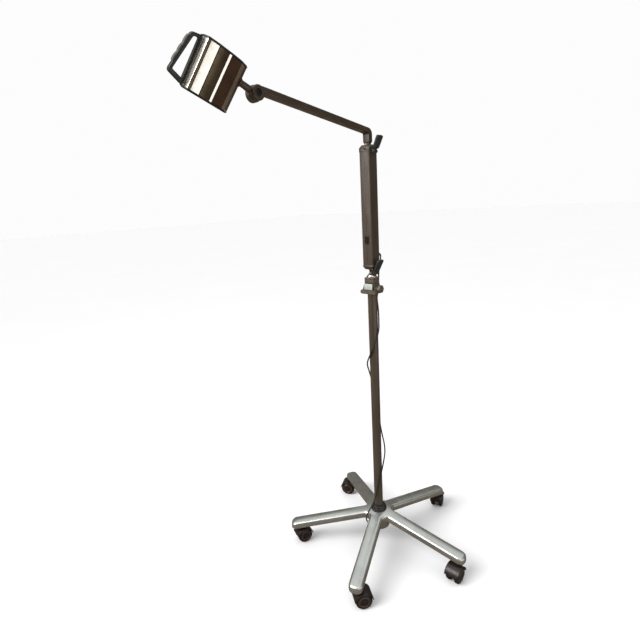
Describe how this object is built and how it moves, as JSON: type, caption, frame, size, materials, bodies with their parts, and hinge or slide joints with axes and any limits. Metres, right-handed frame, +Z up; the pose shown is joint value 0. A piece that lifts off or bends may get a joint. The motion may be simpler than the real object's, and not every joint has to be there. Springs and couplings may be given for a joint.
{
  "type": "mobile surgical light",
  "caption": "Mobile examination light on a castor star base: pole, square column, swivelling boom and a small ribbed lamp head with a loop handle.",
  "frame": {"origin": "centre of the hub cap underside, on the pole axis", "axes": "+Z up along the pole; the boom points along -X; the clamp levers are on the -Y side of the column"},
  "size_m": [0.8988, 0.5864, 1.4413],
  "materials": {
    "cast_aluminium": "polished and lightly worn die casting",
    "painted_metal": "taupe satin paint",
    "cast_paint": "grey-brown paint on a casting",
    "lever_plastic": "grey-black moulded plastic",
    "black_plastic": "black moulded plastic",
    "grip_plastic": "grey soft grip",
    "castor_plastic": "dark brown moulded plastic",
    "steel": "plain steel",
    "bright_metal": "polished",
    "brass": "plain",
    "label_card": "blank white label",
    "ceramic": "white ceramic",
    "cord_rubber": "black flexible cord",
    "anodised": "satin anodised extrusion",
    "glass": "clear"
  },
  "bodies": {
    "base": {"star_base": "cast_aluminium", "hub_cap": "black_plastic", "pole_bolt": "steel", "pole_insert": "steel", "pole_collar": "black_plastic", "pole": "painted_metal", "power_cord": "cord_rubber"},
    "adapter": {"socket_casting": "cast_paint", "label_holder": "black_plastic", "label_plate": "label_card", "collar_block": "cast_paint", "dome_ring": "bright_metal", "swivel_bush": "brass", "cord_middle": "cord_rubber"},
    "knob": {"clamp_knob": "cast_paint"},
    "column": {"spigot": "painted_metal", "column_bottom_cap": "painted_metal", "column_tube": "painted_metal", "column_top_cap": "painted_metal", "transformer": "steel", "switch_body": "black_plastic", "cord_gland": "black_plastic", "cord_upper": "cord_rubber", "lower_lever_pin": "black_plastic", "upper_lever_pin": "black_plastic"},
    "rocker": {"switch_rocker": "black_plastic"},
    "lower_clamp": {"lower_lever": "lever_plastic"},
    "upper_clamp": {"upper_lever": "lever_plastic"},
    "boom_arm": {"boom": "painted_metal", "boom_spigot": "steel", "friction_washer": "black_plastic", "knuckle_bolt": "black_plastic", "knuckle_nut": "steel"},
    "neck_arm": {"neck": "painted_metal", "neck_nut": "steel"},
    "head": {"lamp_housing": "anodised", "end_cap_top": "black_plastic", "end_cap_bottom": "black_plastic", "reflector": "bright_metal", "lamp_holder": "ceramic", "bulb": "glass", "front_glass": "glass", "glass_frame": "black_plastic", "handle_loop": "black_plastic", "handle_grip": "grip_plastic"},
    "castor_1": {"castor_1_hood": "castor_plastic", "castor_1_stem": "steel"},
    "castor_1_wheel_pair": {"castor_1_wheels": "castor_plastic"},
    "castor_2": {"castor_2_hood": "castor_plastic", "castor_2_stem": "steel"},
    "castor_2_wheel_pair": {"castor_2_wheels": "castor_plastic"},
    "castor_3": {"castor_3_hood": "castor_plastic", "castor_3_stem": "steel"},
    "castor_3_wheel_pair": {"castor_3_wheels": "castor_plastic"},
    "castor_4": {"castor_4_hood": "castor_plastic", "castor_4_stem": "steel"},
    "castor_4_wheel_pair": {"castor_4_wheels": "castor_plastic"},
    "castor_5": {"castor_5_hood": "castor_plastic", "castor_5_stem": "steel"},
    "castor_5_wheel_pair": {"castor_5_wheels": "castor_plastic"}
  },
  "joints": [
    {"name": "adapter_swivel", "type": "hinge", "parent": "base", "child": "adapter", "pos_m": [0, 0, 0.813], "axis": [0, 0, 1], "range_deg": [-170, 170]},
    {"name": "knob_turn", "type": "hinge", "parent": "adapter", "child": "knob", "pos_m": [0, -0.03, 0.816], "axis": [0, -1, 0], "range_deg": [-360, 0]},
    {"name": "column_swivel", "type": "hinge", "parent": "adapter", "child": "column", "pos_m": [0, 0, 0.843], "axis": [0, 0, 1], "range_deg": [-30, 30]},
    {"name": "switch_press", "type": "hinge", "parent": "column", "child": "rocker", "pos_m": [-0.0145, 0, 0.959], "axis": [0, 1, 0], "range_deg": [0, 14]},
    {"name": "lower_lever_clamp", "type": "hinge", "parent": "column", "child": "lower_clamp", "pos_m": [0, -0.0146, 0.8622], "axis": [1, 0, 0], "range_deg": [0, 40]},
    {"name": "upper_lever_clamp", "type": "hinge", "parent": "column", "child": "upper_clamp", "pos_m": [0, -0.0224, 1.197], "axis": [1, 0, 0], "range_deg": [0, 40]},
    {"name": "boom_swivel", "type": "hinge", "parent": "column", "child": "boom_arm", "pos_m": [0, 0, 1.208], "axis": [0, 0, 1], "range_deg": [-170, 170]},
    {"name": "neck_tilt", "type": "hinge", "parent": "boom_arm", "child": "neck_arm", "pos_m": [-0.384, 0, 1.2995], "axis": [0, 1, 0], "range_deg": [-110, 60]},
    {"name": "head_roll", "type": "hinge", "parent": "neck_arm", "child": "head", "pos_m": [-0.384, 0, 1.2995], "axis": [0.9304, 0, -0.3665], "range_deg": [-170, 170]},
    {"name": "castor_1_swivel", "type": "hinge", "parent": "base", "child": "castor_1", "pos_m": [0.14608, 0.23653, -0.004], "axis": [0, 0, 1], "continuous": true},
    {"name": "castor_1_roll", "type": "hinge", "parent": "castor_1", "child": "castor_1_wheel_pair", "pos_m": [0.1389, 0.25193, -0.037], "axis": [-0.9063, -0.4226, 0], "continuous": true},
    {"name": "castor_2_swivel", "type": "hinge", "parent": "base", "child": "castor_2", "pos_m": [-0.17981, 0.21202, -0.004], "axis": [0, 0, 1], "continuous": true},
    {"name": "castor_2_roll", "type": "hinge", "parent": "castor_2", "child": "castor_2_wheel_pair", "pos_m": [-0.16383, 0.20621, -0.037], "axis": [0.342, 0.9397, 0], "continuous": true},
    {"name": "castor_3_swivel", "type": "hinge", "parent": "base", "child": "castor_3", "pos_m": [-0.25721, -0.10549, -0.004], "axis": [0, 0, 1], "continuous": true},
    {"name": "castor_3_roll", "type": "hinge", "parent": "castor_3", "child": "castor_3_wheel_pair", "pos_m": [-0.24346, -0.11548, -0.037], "axis": [0.5878, 0.809, 0], "continuous": true},
    {"name": "castor_4_swivel", "type": "hinge", "parent": "base", "child": "castor_4", "pos_m": [0.02084, -0.27722, -0.004], "axis": [0, 0, 1], "continuous": true},
    {"name": "castor_4_roll", "type": "hinge", "parent": "castor_4", "child": "castor_4_wheel_pair", "pos_m": [0.00385, -0.27662, -0.037], "axis": [-0.0349, -0.9994, 0], "continuous": true},
    {"name": "castor_5_swivel", "type": "hinge", "parent": "base", "child": "castor_5", "pos_m": [0.27009, -0.06584, -0.004], "axis": [0, 0, 1], "continuous": true},
    {"name": "castor_5_roll", "type": "hinge", "parent": "castor_5", "child": "castor_5_wheel_pair", "pos_m": [0.28607, -0.06003, -0.037], "axis": [-0.342, 0.9397, 0], "continuous": true}
  ]
}
